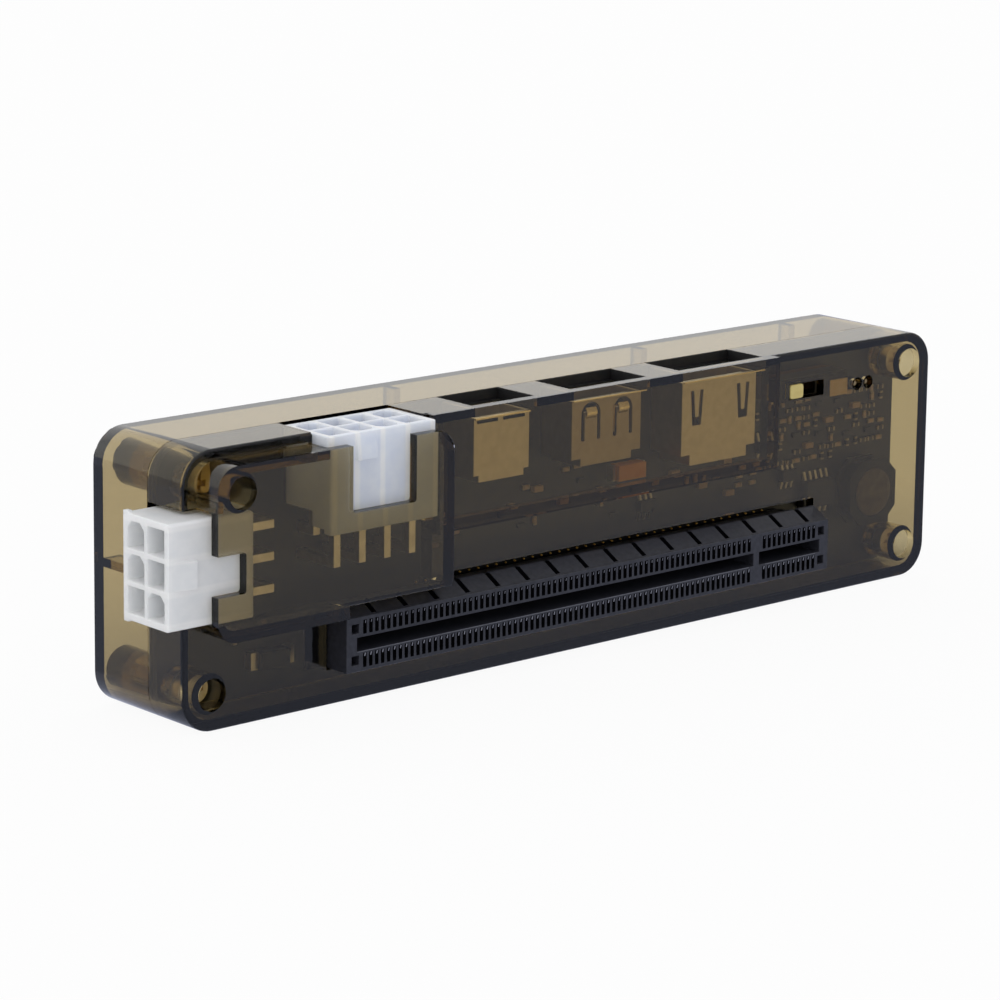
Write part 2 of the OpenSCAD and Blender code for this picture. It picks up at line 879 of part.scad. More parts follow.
module small_port_shell() {
    color([0.75, 0.75, 0.77]) in_frame() port_can(small_left, small_w, small_deep, small_corner);
}

module small_port_insert() {
    color([0.15, 0.15, 0.16]) in_frame()
        port_insert(small_left, small_w, small_deep, small_corner, small_tongue_share);
}

module small_port_contacts() {
    color([0.83, 0.68, 0.34]) in_frame()
        port_strips(small_left, small_w, small_deep, small_corner, small_tongue_share, small_strips);
}

module plug_port_shell() {
    color([0.75, 0.75, 0.77]) in_frame() difference() {
        port_can(usb_left, usb_w, usb_deep, usb_corner);
        for (share = arch_shares) {
            along_y(port_face - cut, port_face + sheet_t) arch_slit(usb_left + share * usb_w);
        }
    }
}

module plug_port_insert() {
    color([0.15, 0.15, 0.16]) in_frame()
        port_insert(usb_left, usb_w, usb_deep, usb_corner, usb_tongue_share);
}

module plug_port_contacts() {
    color([0.83, 0.68, 0.34]) in_frame()
        port_strips(usb_left, usb_w, usb_deep, usb_corner, usb_tongue_share, usb_strips);
}

module signal_port_shell() {
    color([0.75, 0.75, 0.77]) in_frame() difference() {
        port_can(signal_left, signal_w, signal_deep, signal_corner);
        for (share = taper_shares) {
            along_y(port_face - cut, port_face + sheet_t) taper_slit(signal_left + share * signal_w);
        }
    }
}

module signal_port_insert() {
    color([0.15, 0.15, 0.16]) in_frame()
        port_insert(signal_left, signal_w, signal_deep, signal_corner, signal_tongue_share);
}

module signal_port_contacts() {
    color([0.83, 0.68, 0.34]) in_frame()
        port_strips(signal_left, signal_w, signal_deep, signal_corner, signal_tongue_share, signal_strips);
}

// Metal frame of the slide switch, folded over its sides
module switch_frame() {
    low = window_mid - switch_h / 2;
    slot_reach = knob_travel + knob_l;
    knob_x = window_x + knob_gap;
    color([0.78, 0.78, 0.8]) in_frame() difference() {
        span([switch_x, switch_y, low], [switch_x + switch_l, switch_y + frame_d, low + switch_h]);
        span(
            [switch_x + frame_t, switch_y + frame_t, low + frame_t],
            [switch_x + switch_l - frame_t, switch_y + frame_d + cut, low + switch_h - frame_t]
        );
        span(
            [knob_x - knob_gap / 2, switch_y - cut, window_low],
            [knob_x + slot_reach + knob_gap / 2, switch_y + cut, window_low + window_h]
        );
    }
}

// Insulating base of the switch, standing on the board
module switch_base() {
    low = window_mid - switch_h / 2;
    color([0.45, 0.33, 0.2]) in_frame()
        span([switch_x, board_y - switch_base_t, low], [switch_x + switch_l, board_y, low + switch_h]);
}

// Solder pins of the switch, under its lower edge
module switch_pins() {
    low = window_mid - switch_h / 2;
    color([0.8, 0.78, 0.74]) in_frame() for (share = [1 / 6, 3 / 6, 5 / 6]) {
        x = switch_x + share * switch_l;
        span(
            [x - switch_pin_w / 2, board_y - switch_pin_w, low - 2 * switch_pin_w],
            [x + switch_pin_w / 2, board_y, low]
        );
    }
}

// Slider with its knob in the window and a wide foot inside the frame
module switch_slider() {
    x = window_x + knob_gap;
    foot_y = switch_y + frame_t + knob_gap;
    color([0.9, 0.83, 0.6]) in_frame() {
        along_y(wall - knob_out, foot_y + slider_foot_t / 2)
            round_rect(
                [x, window_low + knob_gap], [x + knob_l, window_low + window_h - knob_gap],
                knob_r, hidden_sides
            );
        span(
            [x - slider_foot + frame_t, foot_y, window_low - frame_t / 2],
            [x + knob_l + slider_foot, foot_y + slider_foot_t, window_low + window_h + frame_t / 2]
        );
    }
}

module indicator_lamps() {
    color([0.95, 0.93, 0.85]) in_frame() for (i = [0, 1]) {
        x = lamp_x + i * lamp_pitch;
        span(
            [x - lamp_l / 2, board_y - lamp_t, lamp_z - lamp_h / 2],
            [x + lamp_l / 2, board_y, lamp_z + lamp_h / 2]
        );
    }
}

// Ferrite body: two cut-cornered flanges round a narrower neck, on its two pads
module power_inductor() {
    x = inductor_x;
    w = inductor_w / 2;
    n = w - inductor_neck;
    top = board_y - pad_t;
    color([0.17, 0.17, 0.18]) in_frame() {
        along_y(top - inductor_t, top - inductor_t + inductor_lip)
            cut_rect([x - w, inductor_z - w], [x + w, inductor_z + w], inductor_cut);
        along_y(top - inductor_t, top)
            cut_rect([x - n, inductor_z - n], [x + n, inductor_z + n], inductor_cut);
        along_y(top - inductor_lip, top)
            cut_rect([x - w, inductor_z - w], [x + w, inductor_z + w], inductor_cut);
    }
}

module inductor_pads() {
    x = inductor_x;
    w = inductor_w / 2;
    color([0.8, 0.78, 0.74]) in_frame() for (side = [-1, 1]) {
        mid = inductor_z + side * (w - pad_w / 2);
        span([x - pad_w, board_y - pad_t, mid - pad_w / 2], [x + pad_w, board_y, mid + pad_w / 2]);
    }
}

// Box about a place on the board, standing on its front
module on_board(spot, w, h, t) {
    span(
        [spot[0] - w / 2, board_y - t, spot[1] - h / 2],
        [spot[0] + w / 2, board_y, spot[1] + h / 2]
    );
}

module bulk_capacitors() {
    color([0.75, 0.5, 0.2]) in_frame() on_board(bulk_spot, bulk_w, bulk_h, bulk_t);
}

// Two metal ends of a small part, flush against its short sides
module part_ends(spot, w, h, l, t) {
    for (side = [-1, 1]) {
        on_board([spot[0] + side * (w + l) / 2, spot[1]], l, h, t);
    }
}

module capacitor_ends() {
    color([0.8, 0.78, 0.74]) in_frame() part_ends(bulk_spot, bulk_w, bulk_h, bulk_end, bulk_end_t);
}

module chip_capacitors() {
    color([0.62, 0.52, 0.38]) in_frame() for (share = cap_shares) {
        on_board(board_spot(share), cap_w, cap_h, cap_t);
    }
}

module chip_resistors() {
    color([0.25, 0.25, 0.26]) in_frame() {
        for (share = res_shares) {
            on_board(board_spot(share), res_w, res_h, res_t);
        }
        for (share = over_res_shares) {
            on_board([share * case_l, over_inductor_z], res_w, res_h, res_t);
        }
        for (share = low_res_shares) {
            on_board(low_spot(share), res_w, res_h, res_t);
        }
    }
}

// Flat leads along the two long sides of a chip, falling to the board
module chip_leads(spot, h, count, pitch) {
    for (i = [0:count - 1]) {
        for (side = [-1, 1]) {
            x = spot[0] + (i - (count - 1) / 2) * pitch;
            z = spot[1] + side * h / 2;
            along_x(x - lead_w / 2, x + lead_w / 2) polygon([
                [board_y - 2 * lead_t, z], [board_y - lead_t / 2, z + side * lead_out],
                [board_y, z + side * lead_out], [board_y, z]
            ]);
        }
    }
}

module controller_chip() {
    color([0.12, 0.12, 0.13]) in_frame()
        on_board(controller_spot, controller_w, controller_h, controller_t);
}

module controller_leads() {
    color([0.8, 0.78, 0.74]) in_frame()
        chip_leads(controller_spot, controller_h, controller_lead_count, controller_lead_pitch);
}

module driver_chips() {
    color([0.12, 0.12, 0.13]) in_frame() for (spot = driver_spots) {
        on_board(spot, driver_w, driver_h, driver_t);
    }
}

module driver_leads() {
    color([0.8, 0.78, 0.74]) in_frame() for (spot = driver_spots) {
        chip_leads(spot, driver_h, driver_lead_count, driver_w / driver_lead_count);
    }
}

module power_diode() {
    color([0.14, 0.14, 0.15]) in_frame() on_board(diode_spot, diode_w, diode_h, diode_t);
}

module diode_ends() {
    color([0.8, 0.78, 0.74]) in_frame()
        part_ends(diode_spot, diode_w, diode_h, diode_end_l, diode_end_t);
}

// Pan head screws with a cross recess, seated on the floors of the tubes
module case_screws() {
    seat = board_y - screw_floor;
    color([0.6, 0.6, 0.62]) in_frame() for (s = screw_spots) {
        difference() {
            union() {
                along_y(seat - screw_head_t, seat) translate([s[0], s[1]]) circle(screw_head_r);
                along_y(seat, seat + screw_l)
                    translate([s[0], s[1]])
                    circle(screw_r, $fn = hidden_sides);
            }
            for (turn = [0, 90]) {
                along_y(seat - screw_head_t - cut, seat - screw_head_t + screw_recess_d)
                    translate([s[0], s[1]])
                    rotate(turn)
                    square([screw_recess_l, screw_recess_w], center = true);
            }
        }
    }
}

front_shell();
back_shell();
circuit_board();
card_slot_housing();
card_slot_contacts();
six_pin_header();
six_pin_terminals();
eight_pin_header();
eight_pin_terminals();
small_port_shell();
small_port_insert();
small_port_contacts();
plug_port_shell();
plug_port_insert();
plug_port_contacts();
signal_port_shell();
signal_port_insert();
signal_port_contacts();
switch_frame();
switch_base();
switch_pins();
switch_slider();
indicator_lamps();
power_inductor();
inductor_pads();
bulk_capacitors();
capacitor_ends();
chip_capacitors();
chip_resistors();
controller_chip();
controller_leads();
driver_chips();
driver_leads();
power_diode();
diode_ends();
case_screws();
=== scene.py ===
import math
import random

import bmesh
import bpy
from mathutils import Matrix, Vector


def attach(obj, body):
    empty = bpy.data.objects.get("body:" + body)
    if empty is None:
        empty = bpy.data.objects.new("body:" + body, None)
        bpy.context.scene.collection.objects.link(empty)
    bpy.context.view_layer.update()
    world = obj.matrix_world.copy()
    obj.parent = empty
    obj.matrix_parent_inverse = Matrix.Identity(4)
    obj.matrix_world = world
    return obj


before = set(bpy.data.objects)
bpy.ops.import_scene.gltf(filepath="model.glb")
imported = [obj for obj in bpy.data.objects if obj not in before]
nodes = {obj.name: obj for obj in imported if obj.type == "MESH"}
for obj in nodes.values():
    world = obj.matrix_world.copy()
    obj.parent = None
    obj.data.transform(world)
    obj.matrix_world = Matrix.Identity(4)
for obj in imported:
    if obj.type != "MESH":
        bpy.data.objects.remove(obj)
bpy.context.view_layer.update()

# Lengths are in case millimetres: x from the case's left end, y back from its front face and
# z up from its underside. The function place turns them into the frame's metres.
MM = 0.001
ORIGIN_X, ORIGIN_Y = -66.2 * MM, -7.35 * MM

# Case: length, height and corner radius, then the planes of its faces
CASE_L, CASE_H, CORNER = 136.8, 36.6, 4.6
FRONT_Y, BLOCK_Y, BACK_Y = 0.0, -4.5, 19.2

# Board's front face, and the hair's breadth by which small things stand off it and off each other
BOARD_Y = 6.5
HAIR = 0.02

# Card slot: its face and its row of contacts, of which the key takes two places
SLOT_Y = -3.6
FIRST_CONTACT = 26.54
CONTACT_PITCH = 1.0
CONTACT_PLACES = 84
KEY_PLACES = (71, 72)

# Power headers: pitch of the cells, and one cell wall in each
PIN_PITCH = 4.2
SIX_WALL_Z = 21.85 + PIN_PITCH / 2
EIGHT_WALL_X = 21.45

# Openings over the three ports, from and to along x
PORT_SPANS = ((47.51, 58.51), (65.21, 79.31), (85.76, 102.11))

# Lamps
LAMP_XS = (121.5, 123.8)
LAMP_Z = 30.35

# Colours and the fine bumps that the solid materials share
WHITE = (1.0, 1.0, 1.0, 1.0)
BUMP_SCALE = 4000.0
BUMP_DEPTH = 0.05 * MM


def place(x, y, z):
    """Turns case millimetres into the frame's metres"""
    return Vector((x * MM + ORIGIN_X, y * MM + ORIGIN_Y, z * MM))


# Materials
def new_material(name):
    """Gives an empty node material with its tree, shader and output"""
    material = bpy.data.materials.new(name)
    material.use_nodes = True
    tree = material.node_tree
    for node in list(tree.nodes):
        tree.nodes.remove(node)
    output = tree.nodes.new("ShaderNodeOutputMaterial")
    shader = tree.nodes.new("ShaderNodeBsdfPrincipled")
    tree.links.new(shader.outputs[0], output.inputs["Surface"])
    return material, tree, shader, output


def linear(colour):
    """Turns an sRGB colour of 0 to 255 into the linear one of a shader"""
    def channel(value):
        value /= 255.0
        return value / 12.92 if value <= 0.04045 else ((value + 0.055) / 1.055) ** 2.4
    return (*(channel(value) for value in colour), 1.0)


def noise(tree, scale, detail=4.0):
    """Gives a noise value over the object's coordinates, and those coordinates"""
    coordinates = tree.nodes.new("ShaderNodeTexCoord")
    texture = tree.nodes.new("ShaderNodeTexNoise")
    texture.inputs["Scale"].default_value = scale
    texture.inputs["Detail"].default_value = detail
    tree.links.new(coordinates.outputs["Object"], texture.inputs["Vector"])
    return texture.outputs["Fac"], coordinates.outputs["Object"]


def ramp(tree, value, start, end):
    """Gives a colour for a value: start and end are each a position and a colour"""
    node = tree.nodes.new("ShaderNodeValToRGB")
    for element, (position, colour) in zip(node.color_ramp.elements, (start, end)):
        element.position = position
        element.color = colour
    tree.links.new(value, node.inputs["Fac"])
    return node.outputs["Color"]


def mix(tree, blend, share, first, second):
    """Gives two colours mixed: each of share, first and second is a value or a socket"""
    node = tree.nodes.new("ShaderNodeMixRGB")
    node.blend_type = blend
    for name, value in (("Fac", share), ("Color1", first), ("Color2", second)):
        if isinstance(value, (float, tuple)):
            node.inputs[name].default_value = value
        else:
            tree.links.new(value, node.inputs[name])
    return node.outputs["Color"]


def calc(tree, operation, first, second=None):
    """Gives the result of a math node on values or sockets"""
    node = tree.nodes.new("ShaderNodeMath")
    node.operation = operation
    for socket, value in zip(node.inputs, (first, second)):
        if isinstance(value, float):
            socket.default_value = value
        elif value is not None:
            tree.links.new(value, socket)
    return node.outputs[0]


def mottled(tree, dark, light, scale):
    """Gives a colour that drifts between two close ones, and the object's coordinates"""
    value, coordinates = noise(tree, scale)
    return ramp(tree, value, (0.35, linear(dark)), (0.65, linear(light))), coordinates


def roughen(tree, shader, scale, strength, distance, detail=4.0):
    """Puts fine bumps on a shader's surface"""
    value, _ = noise(tree, scale, detail)
    bump = tree.nodes.new("ShaderNodeBump")
    bump.inputs["Strength"].default_value = strength
    bump.inputs["Distance"].default_value = distance
    tree.links.new(value, bump.inputs["Height"])
    tree.links.new(bump.outputs["Normal"], shader.inputs["Normal"])


def solid(name, dark, light, rough, metal=0.0, specular=0.5, grain=900.0, bump=0.05):
    """An opaque plastic, resin or metal with a faint grain"""
    material, tree, shader, _ = new_material(name)
    colour, _ = mottled(tree, dark, light, grain)
    tree.links.new(colour, shader.inputs["Base Color"])
    shader.inputs["Roughness"].default_value = rough
    shader.inputs["Metallic"].default_value = metal
    shader.inputs["Specular IOR Level"].default_value = specular
    roughen(tree, shader, BUMP_SCALE, bump, BUMP_DEPTH)
    return material


def smoke(name, tint, density):
    """Smoke brown plastic: clear, and tinted by the length of the way through it"""
    material, tree, shader, output = new_material(name)
    shader.inputs["Base Color"].default_value = WHITE
    shader.inputs["Transmission Weight"].default_value = 1.0
    shader.inputs["Roughness"].default_value = 0.03
    shader.inputs["IOR"].default_value = 1.5
    roughen(tree, shader, 160.0, 0.04, 0.2 * MM, 2.0)
    absorption = tree.nodes.new("ShaderNodeVolumeAbsorption")
    absorption.inputs["Color"].default_value = tint
    absorption.inputs["Density"].default_value = density
    tree.links.new(absorption.outputs[0], output.inputs["Volume"])
    return material


def nylon(name, dark, light, shade, axis, wall_at):
    """Natural nylon with painted light and shade: each cell is tinted to the shade colour across its middle
    and its walls are left lighter, as if lit through, one cell each pitch along the axis
    """
    material, tree, shader, _ = new_material(name)
    colour, coordinates = mottled(tree, dark, light, 500.0)
    split = tree.nodes.new("ShaderNodeSeparateXYZ")
    tree.links.new(coordinates, split.inputs[0])
    cells = calc(tree, "DIVIDE", calc(tree, "SUBTRACT", split.outputs[axis], wall_at), PIN_PITCH * MM)
    from_middle = calc(tree, "ABSOLUTE", calc(tree, "SUBTRACT", calc(tree, "FRACT", cells), 0.5))
    # painted shade: the shade colour across the middle of each cell, white at its walls
    painted_cell_shade = ramp(tree, from_middle, (0.36, shade), (0.44, WHITE))
    tree.links.new(mix(tree, "MULTIPLY", 1.0, colour, painted_cell_shade), shader.inputs["Base Color"])
    shader.inputs["Roughness"].default_value = 0.36
    shader.inputs["Subsurface Weight"].default_value = 0.8
    shader.inputs["Subsurface Radius"].default_value = (1.0, 1.0, 1.0)
    shader.inputs["Subsurface Scale"].default_value = 2.5 * MM
    roughen(tree, shader, 2600.0, 0.06, BUMP_DEPTH)
    return material


looks = {
    "smoke": smoke("smoke_plastic", (0.625, 0.525, 0.225, 1.0), 800.0),
    "board": solid("board_mask", (14, 15, 17), (22, 23, 24), 0.38, grain=300.0, bump=0.0),
    "black": solid("slot_plastic", (38, 39, 46), (50, 51, 59), 0.4, grain=1500.0),
    "gold": solid("contact_gold", (226, 186, 110), (240, 204, 130), 0.3, metal=1.0),
    "tin": solid("tinned_metal", (206, 196, 176), (224, 214, 196), 0.34, metal=1.0),
    "sheet": solid("plated_sheet", (198, 184, 158), (207, 193, 167), 0.36, metal=1.0),
    "dark_sheet": solid("plated_sheet_dark", (166, 150, 126), (174, 158, 133), 0.4, metal=1.0),
    "switch_sheet": solid("switch_sheet", (40, 38, 38), (52, 50, 48), 0.42, metal=1.0),
    "cream": solid("knob_plastic", (204, 184, 112), (214, 196, 124), 0.4),
    "lamp": solid("lamp_resin", (216, 206, 180), (230, 220, 194), 0.2),
    # a darker copy of the lamp resin, painted shade for the domes in the lamp holes
    "shaded_lamp": solid("lamp_resin_painted_shade", (150, 130, 98), (164, 144, 110), 0.25),
    "ferrite": solid("ferrite", (16, 16, 18), (24, 24, 26), 0.55),
    "tantalum": solid("tantalum", (226, 150, 52), (236, 164, 66), 0.45),
    "ceramic": solid("ceramic_tan", (176, 146, 108), (196, 164, 124), 0.5),
    "film": solid("film_dark", (20, 20, 22), (28, 28, 30), 0.45),
    # flat black without gloss that paints shade: in the slot's recesses and slits, the shells' joint, the
    # lamp holes' rims, the small port's rim windows and the slot's end
    "pocket": solid("pocket_black", (3, 3, 4), (7, 7, 9), 0.9, specular=0.0),
    "solder": solid("dull_solder", (150, 136, 112), (172, 158, 132), 0.42, metal=1.0),
    "tip": solid("tip_metal", (150, 150, 152), (176, 174, 172), 0.3, metal=1.0),
    # grey that paints a highlight on the card opening's lower edge
    "edge": solid("painted_highlight_plastic", (92, 94, 102), (108, 110, 118), 0.35),
    "chip": solid("chip_resin", (22, 22, 24), (30, 30, 32), 0.5),
    "brown": solid("laminate_brown", (86, 62, 38), (98, 72, 46), 0.6),
    "beige": solid("switch_block", (240, 206, 146), (248, 216, 158), 0.5),
    # a brighter copy of the plated sheet that paints highlights on the ports' mouths and the springs' curls
    "highlight_sheet": solid("plated_sheet_highlight", (236, 214, 168), (248, 228, 184), 0.25, metal=1.0),
    "cap": solid("ferrite_cap", (96, 86, 72), (112, 100, 82), 0.55),
    "screw": solid("screw_steel", (206, 186, 140), (222, 202, 160), 0.36, metal=1.0),
    "nylon": nylon("natural_nylon", (246, 248, 250), (253, 254, 255), (0.9, 0.91, 0.92, 1.0),
                   2, SIX_WALL_Z * MM),
    "cool_nylon": nylon("natural_nylon_cool", (238, 242, 252), (246, 249, 255), (0.84, 0.87, 0.95, 1.0),
                        0, EIGHT_WALL_X * MM + ORIGIN_X),
}

LOOK_OF_NODE = {
    "front_shell": "smoke", "back_shell": "smoke", "circuit_board": "board", "case_screws": "screw",
    "card_slot_housing": "black", "card_slot_contacts": "gold",
    "six_pin_header": "nylon", "eight_pin_header": "cool_nylon",
    "six_pin_terminals": "tin", "eight_pin_terminals": "tin",
    "small_port_shell": "sheet", "plug_port_shell": "dark_sheet", "signal_port_shell": "sheet",
    "small_port_insert": "film", "plug_port_insert": "film", "signal_port_insert": "film",
    "small_port_contacts": "gold", "plug_port_contacts": "gold", "signal_port_contacts": "gold",
    "switch_frame": "switch_sheet", "switch_base": "brown", "switch_pins": "tin", "switch_slider": "cream",
    "indicator_lamps": "lamp", "power_inductor": "ferrite", "inductor_pads": "tin",
    "bulk_capacitors": "tantalum", "capacitor_ends": "tin",
    "chip_capacitors": "ceramic", "chip_resistors": "film",
    "controller_chip": "chip", "controller_leads": "tin", "driver_chips": "chip", "driver_leads": "tin",
    "power_diode": "chip", "diode_ends": "tin",
}
for name, node in nodes.items():
    node.data.materials.clear()
    node.data.materials.append(looks[LOOK_OF_NODE[name]])


# Soft edges on the frame's own nodes
def weld(thing):
    """Joins the split edges of an imported mesh, so that a bevel finds them"""
    thing.modifiers.new("weld", "WELD").merge_threshold = 0.002 * MM


def bevel(thing, width, segments, angle):
    """Rounds the edges that are sharper than an angle in degrees"""
    modifier = thing.modifiers.new("edges", "BEVEL")
    modifier.limit_method = "ANGLE"
    modifier.angle_limit = math.radians(angle)
    modifier.width = width * MM
    modifier.segments = segments
    modifier.use_clamp_overlap = False
    modifier.harden_normals = False


def on_outline(corner):
    """True on the case's outer outline, seen along y"""
    x, z = (corner.x - ORIGIN_X) / MM, corner.z / MM
    past_x = max(CORNER - x, x - (CASE_L - CORNER), 0.0)
    past_z = max(CORNER - z, z - (CASE_H - CORNER), 0.0)
    if past_x > 0 and past_z > 0:
        return abs(math.hypot(past_x, past_z) - CORNER) < 0.06
    return min(x, CASE_L - x, z, CASE_H - z) < 0.02


def on_block_rim(corner):
    """True low down and at the right end of the raised block, where its rim is rounded"""
    low_top, low_left, right_end = 16, 8, 39.5
    x, z = (corner.x - ORIGIN_X) / MM, corner.z / MM
    return (z < low_top and x > low_left) or x > right_end


def round_rims(thing, width, rims):
    """Rounds the open edges in the given planes: rims is a list of a plane's y and a test"""
    mesh = thing.data
    weights = mesh.attributes.new("bevel_weight_edge", "FLOAT", "EDGE")
    uses = {}
    for face in mesh.polygons:
        for key in face.edge_keys:
            uses[key] = uses.get(key, 0) + 1
    for edge in mesh.edges:
        if uses.get(tuple(sorted(edge.vertices)), 0) != 1:
            continue
        ends = [mesh.vertices[index].co for index in edge.vertices]
        for y, is_kept in rims:
            in_plane = all(abs(end.y - ORIGIN_Y - y * MM) < 1e-5 for end in ends)
            if in_plane and all(is_kept(end) for end in ends):
                weights.data[edge.index].value = 1.0
    weld(thing)
    modifier = thing.modifiers.new("rims", "BEVEL")
    modifier.limit_method = "WEIGHT"
    modifier.width = width * MM
    modifier.segments = 4
    modifier.use_clamp_overlap = False


HEADERS = ("six_pin_header", "eight_pin_header")
SMALL_SOLIDS = ("power_inductor", "controller_chip", "driver_chips", "bulk_capacitors", "power_diode",
                "switch_slider")
PORT_SHELLS = ("small_port_shell", "plug_port_shell", "signal_port_shell")
for names, width, segments, angle in ((HEADERS, 0.12, 2, 60.0), (SMALL_SOLIDS, 0.1, 2, 40.0),
                                      (("card_slot_housing",), 0.07, 1, 60.0), (PORT_SHELLS, 0.06, 2, 60.0)):
    for name in names:
        weld(nodes[name])
        bevel(nodes[name], width, segments, angle)
round_rims(nodes["front_shell"], 0.32, [(FRONT_Y, on_outline), (BLOCK_Y, on_block_rim)])
round_rims(nodes["back_shell"], 0.25, [(BACK_Y, on_outline)])


# Detail pieces
class Piece:
    """Gathers forms in case millimetres into one mesh"""

    def __init__(self):
        self.bm = bmesh.new()

    def corner(self, x, y, z):
        return self.bm.verts.new(place(x, y, z))

    def wall(self, first, second):
        """Joins two closed loops of as many corners each"""
        count = len(first)
        for k in range(count):
            after = (k + 1) % count
            self.bm.faces.new([first[k], second[k], second[after], first[after]])

    def box(self, low, high, tilt=0.0):
        """A box between two corners, turned about its middle in x and z by tilt radians"""
        middle = [(a + b) / 2 for a, b in zip(low, high)]
        half = [(b - a) / 2 for a, b in zip(low, high)]
        corners = []
        for side_x in (-1, 1):
            for side_y in (-1, 1):
                for side_z in (-1, 1):
                    x, z = side_x * half[0], side_z * half[2]
                    turned_x = x * math.cos(tilt) - z * math.sin(tilt)
                    turned_z = x * math.sin(tilt) + z * math.cos(tilt)
                    corners.append(self.corner(middle[0] + turned_x, middle[1] + side_y * half[1],
                                               middle[2] + turned_z))
        for face in ((0, 1, 3, 2), (4, 6, 7, 5), (0, 4, 5, 1), (2, 3, 7, 6), (0, 2, 6, 4), (1, 5, 7, 3)):
            self.bm.faces.new([corners[k] for k in face])

    def strip(self, outline, left, right):
        """A closed outline of y and z, drawn out from left to right along x"""
        first = [self.corner(left, y, z) for y, z in outline]
        second = [self.corner(right, y, z) for y, z in outline]
        self.bm.faces.new(first)
        self.bm.faces.new(list(reversed(second)))
        self.wall(first, second)

    def case_ring(self, front, back, outer, inner, steps=10):
        """A ring on the case's outline between two insets, from front to back"""
        middles = ((CASE_L - CORNER, CORNER), (CASE_L - CORNER, CASE_H - CORNER),
                   (CORNER, CASE_H - CORNER), (CORNER, CORNER))
        loops = []
        for inset in (outer, inner):
            radius = CORNER - inset
            points = []
            for quarter, (x, z) in enumerate(middles):
                for k in range(steps + 1):
                    angle = math.pi / 2 * (quarter - 1 + k / steps)
                    points.append((x + radius * math.cos(angle), z + radius * math.sin(angle)))
            for y in (front, back):
                loops.append([self.corner(x, y, z) for x, z in points])
        outer_front, outer_back, inner_front, inner_back = loops
        self.wall(outer_front, outer_back)
        self.wall(outer_back, inner_back)
        self.wall(inner_back, inner_front)
        self.wall(inner_front, outer_front)

    def turned(self, x, z, profile, sides):
        """A form turned about an axis along y: profile is a list of y and radius"""
        rings = []
        for y, radius in profile:
            angles = [2 * math.pi * k / sides for k in range(sides if radius > 0 else 1)]
            rings.append([self.corner(x + radius * math.cos(angle), y, z + radius * math.sin(angle))
                          for angle in angles])
        for first, second in zip(rings, rings[1:]):
            if len(first) == len(second) == 1:
                continue
            if len(first) == len(second):
                self.wall(first, second)
                continue
            for k in range(sides):
                after = (k + 1) % sides
                if len(first) == 1:
                    self.bm.faces.new([first[0], second[k], second[after]])
                else:
                    self.bm.faces.new([first[k], second[0], first[after]])

    def make(self, name, look, slot, width=0.0, smooth=False):
        """Makes the object, with its edges rounded by width, and lets it ride on the dock"""
        bmesh.ops.remove_doubles(self.bm, verts=self.bm.verts, dist=1e-7)
        bmesh.ops.recalc_face_normals(self.bm, faces=self.bm.faces)
        mesh = bpy.data.meshes.new(name)
        self.bm.to_mesh(mesh)
        self.bm.free()
        for face in mesh.polygons:
            face.use_smooth = smooth
        thing = bpy.data.objects.new(name, mesh)
        bpy.context.scene.collection.objects.link(thing)
        mesh.materials.append(looks[look])
        if width:
            bevel(thing, width, 2, 35.0)
        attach(thing, "dock")


# Small parts on the board: a loose patch right of the ports, and single ones seen through the case.
# The taken spots are the middles of the frame's own chips, capacitors and resistors thereabouts.
PATCH_LEFT, PATCH_LOW = 106.6, 18.9
PATCH_COLUMNS, PATCH_ROWS = 16, 8
COLUMN_PITCH, ROW_PITCH = 1.72, 1.26
COLUMN_DRIFT, ROW_DRIFT = 0.2, 0.1
EMPTY_SHARE, LEVEL_SHARE, DARK_SHARE = 0.14, 0.6, 0.45
ROOM_LEFT, ROOM_RIGHT = 106.2, 133.4
INDUCTOR_LEFT, INDUCTOR_TOP = 122.5, 19.2
CLEAR_X, CLEAR_Z = 1.9, 1.25
PART_T = 0.42
PART_L, PART_W = 1.2, 0.62
PATCH_LEVEL, PATCH_UPRIGHT = (1.25, 0.62), (1.1, 0.6)
END_L, END_IN, BODY_IN = 0.32, 0.12, 0.2
TAKEN = ((108.07, 21.96), (113.1, 17.0), (119.15, 13.63), (101.2, 16.1), (117.2, 20.86), (121.3, 24.2),
         (126.95, 25.6), (104.0, 22.3), (109.4, 25.25), (114.8, 22.7), (119.6, 22.3), (123.4, 26.7),
         (119.6, 26.7), (125.4, 21.5), (130.0, 21.5), (105.3, 24.2))
UPRIGHT_SPOTS = ((92.2, 19.2), (93.9, 19.3), (95.6, 18.9), (64.0, 17.5), (76.4, 18.3), (120.9, 8.6),
                 (12.4, 9.4))
LEVEL_SPOTS = ((98.0, 18.6), (103.2, 19.6), (103.3, 18.2), (103.2, 16.9), (106.0, 19.7), (106.1, 18.3),
               (106.0, 16.9), (59.6, 20.2), (62.3, 22.4), (69.6, 23.9), (71.7, 24.1), (76.0, 20.2),
               (46.0, 21.2), (46.2, 17.0), (116.2, 4.6), (16.5, 10.2), (86.0, 19.8))


def has_room(x, z):
    """True where the patch holds a part: between its sides, off the inductor and the taken spots"""
    inside = ROOM_LEFT <= x <= ROOM_RIGHT and (z >= INDUCTOR_TOP or x <= INDUCTOR_LEFT)
    return inside and not any(abs(x - a) < CLEAR_X and abs(z - b) < CLEAR_Z for a, b in TAKEN)


def small_part(body, ends, x, z, length, width, upright):
    """A body with a metal end at either side, or above and below where it is upright"""
    def add(piece, shift, half_l, half_w, front):
        if upright:
            low, high = (x - half_w, z + shift - half_l), (x + half_w, z + shift + half_l)
        else:
            low, high = (x + shift - half_l, z - half_w), (x + shift + half_l, z + half_w)
        piece.box((low[0], front, low[1]), (high[0], BOARD_Y - HAIR, high[1]))

    add(body, 0.0, length / 2 - BODY_IN, width / 2, BOARD_Y - PART_T)
    for side in (-1, 1):
        add(ends, side * (length / 2 - END_IN), END_L / 2, width / 2 + HAIR, BOARD_Y - PART_T - HAIR)


